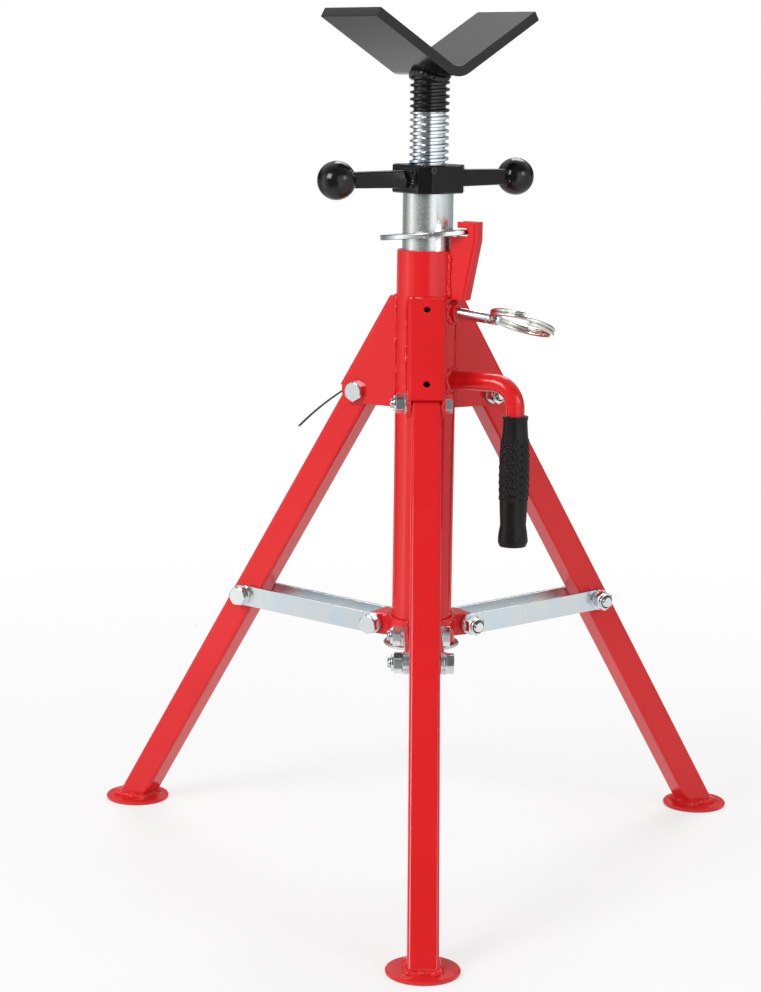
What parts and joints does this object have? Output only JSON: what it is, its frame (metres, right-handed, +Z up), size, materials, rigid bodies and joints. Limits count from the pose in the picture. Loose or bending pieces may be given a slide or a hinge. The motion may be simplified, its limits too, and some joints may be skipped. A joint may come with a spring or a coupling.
{
  "type": "pipe stand",
  "caption": "Folding tripod pipe stand: hinged square legs with braces to a sliding collar, a telescoping post, a hand-turned jack screw and a V head.",
  "frame": {"origin": "on the floor, under the centre line of the post, with the three feet standing on the floor", "axes": "+Z up along the post; -Y towards the front leg, which faces the viewer; +X to the viewer's right"},
  "size_m": [0.6422, 0.5647, 0.804],
  "materials": {
    "red_paint": "gloss red enamel",
    "black_paint": "gloss black enamel",
    "zinc_plate": "bright zinc plate",
    "galvanised": "galvanised, matt",
    "black_knob": "gloss black",
    "black_rubber": "moulded rubber",
    "black_nylon": "nylon"
  },
  "bodies": {
    "post": {"post_tube": "red_paint", "collar_stop_plate": "zinc_plate", "leg_bracket_front": "red_paint", "leg_bracket_right": "red_paint", "leg_bracket_left": "red_paint", "latch_bracket": "red_paint", "pin_boss": "red_paint", "carry_handle": "red_paint", "handle_grip": "black_rubber", "leg_pivot_bolts": "zinc_plate", "leg_pivot_nuts": "zinc_plate", "leg_pivot_washers": "zinc_plate", "cable_tie": "black_nylon"},
    "collar": {"collar_ring": "red_paint", "collar_lugs": "red_paint", "collar_bolts": "zinc_plate", "collar_nuts": "zinc_plate", "collar_washers": "zinc_plate"},
    "inner_tube": {"inner_tube": "galvanised"},
    "handle_nut": {"handle_nut": "black_paint", "ball_knob_left": "black_knob", "ball_knob_right": "black_knob"},
    "stop_washer": {"stop_washer": "zinc_plate"},
    "jack_screw": {"jack_screw": "zinc_plate", "stop_bolt": "zinc_plate", "v_head": "black_paint", "head_weld": "black_paint"},
    "friction_plate": {"friction_plate": "zinc_plate"},
    "ring_pin": {"ring_pin": "zinc_plate"},
    "pin_ring": {"pin_ring": "zinc_plate"},
    "leg_front": {"leg_tube_front": "red_paint", "leg_sleeve_front": "red_paint", "leg_cross_pin_front": "zinc_plate", "foot_plate_front": "red_paint"},
    "brace_front": {"brace_bar_front_head_side": "zinc_plate", "brace_bar_front_nut_side": "zinc_plate", "brace_bolt_front": "zinc_plate", "brace_nut_front": "zinc_plate"},
    "leg_right": {"leg_tube_right": "red_paint", "leg_sleeve_right": "red_paint", "leg_cross_pin_right": "zinc_plate", "foot_plate_right": "red_paint"},
    "brace_right": {"brace_bar_right_head_side": "zinc_plate", "brace_bar_right_nut_side": "zinc_plate", "brace_bolt_right": "zinc_plate", "brace_nut_right": "zinc_plate"},
    "leg_left": {"leg_tube_left": "red_paint", "leg_sleeve_left": "red_paint", "leg_cross_pin_left": "zinc_plate", "foot_plate_left": "red_paint"},
    "brace_left": {"brace_bar_left_head_side": "zinc_plate", "brace_bar_left_nut_side": "zinc_plate", "brace_bolt_left": "zinc_plate", "brace_nut_left": "zinc_plate"}
  },
  "joints": [
    {"name": "collar_slide", "type": "slide", "parent": "post", "child": "collar", "axis": [0, 0, 1], "range_m": [0, 0.11928]},
    {"name": "leg_front_hinge", "type": "hinge", "parent": "post", "child": "leg_front", "pos_m": [0, -0.0655, 0.44748], "axis": [1, 0, 0], "range_deg": [0, 27.2]},
    {"name": "brace_front_hinge", "type": "hinge", "parent": "collar", "child": "brace_front", "pos_m": [0, -0.0455, 0.22418], "axis": [1, 0, 0], "range_deg": [0, 79.34]},
    {"name": "leg_right_hinge", "type": "hinge", "parent": "post", "child": "leg_right", "pos_m": [0.05672, 0.03275, 0.44748], "axis": [-0.5, 0.866, 0], "range_deg": [0, 27.2]},
    {"name": "brace_right_hinge", "type": "hinge", "parent": "collar", "child": "brace_right", "pos_m": [0.0394, 0.02275, 0.22418], "axis": [-0.5, 0.866, 0], "range_deg": [0, 79.34]},
    {"name": "leg_left_hinge", "type": "hinge", "parent": "post", "child": "leg_left", "pos_m": [-0.05672, 0.03275, 0.44748], "axis": [-0.5, -0.866, 0], "range_deg": [0, 27.2]},
    {"name": "brace_left_hinge", "type": "hinge", "parent": "collar", "child": "brace_left", "pos_m": [-0.0394, 0.02275, 0.22418], "axis": [-0.5, -0.866, 0], "range_deg": [0, 79.34]},
    {"name": "tube_slide", "type": "slide", "parent": "post", "child": "inner_tube", "axis": [0, 0, 1], "range_m": [0, 0.3]},
    {"name": "nut_turn", "type": "hinge", "parent": "inner_tube", "child": "handle_nut", "pos_m": [0, 0, 0.64983], "axis": [0, 0, 1], "range_deg": [-12245.67, 4251.97]},
    {"name": "screw_slide", "type": "slide", "parent": "inner_tube", "child": "stop_washer", "axis": [0, 0, 1], "range_m": [-0.07501, 0.21601]},
    {"name": "head_swivel", "type": "hinge", "parent": "stop_washer", "child": "jack_screw", "pos_m": [0, 0, 0.74378], "axis": [0, 0, 1], "continuous": true},
    {"name": "friction_plate_tilt", "type": "hinge", "parent": "post", "child": "friction_plate", "pos_m": [0.03843, -0.02219, 0.60221], "axis": [0.5, 0.866, 0], "range_deg": [0, 5.7]},
    {"name": "ring_pin_slide", "type": "slide", "parent": "post", "child": "ring_pin", "axis": [0.8627, -0.4981, -0.0872], "range_m": [-0.005, 0.008]},
    {"name": "pin_ring_swing", "type": "hinge", "parent": "ring_pin", "child": "pin_ring", "pos_m": [0.06352, -0.03667, 0.52294], "axis": [0.4658, 0.8069, -0.3633], "range_deg": [-75, 45]}
  ],
  "couplings": [
    {"joint": "leg_front_hinge", "follows": "collar_slide", "rad_per_m": 3.9798},
    {"joint": "brace_front_hinge", "follows": "collar_slide", "rad_per_m": 11.609},
    {"joint": "leg_right_hinge", "follows": "collar_slide", "rad_per_m": 3.9798},
    {"joint": "brace_right_hinge", "follows": "collar_slide", "rad_per_m": 11.609},
    {"joint": "leg_left_hinge", "follows": "collar_slide", "rad_per_m": 3.9798},
    {"joint": "brace_left_hinge", "follows": "collar_slide", "rad_per_m": 11.609},
    {"joint": "screw_slide", "follows": "nut_turn", "m_per_rad": -0.0010106}
  ]
}
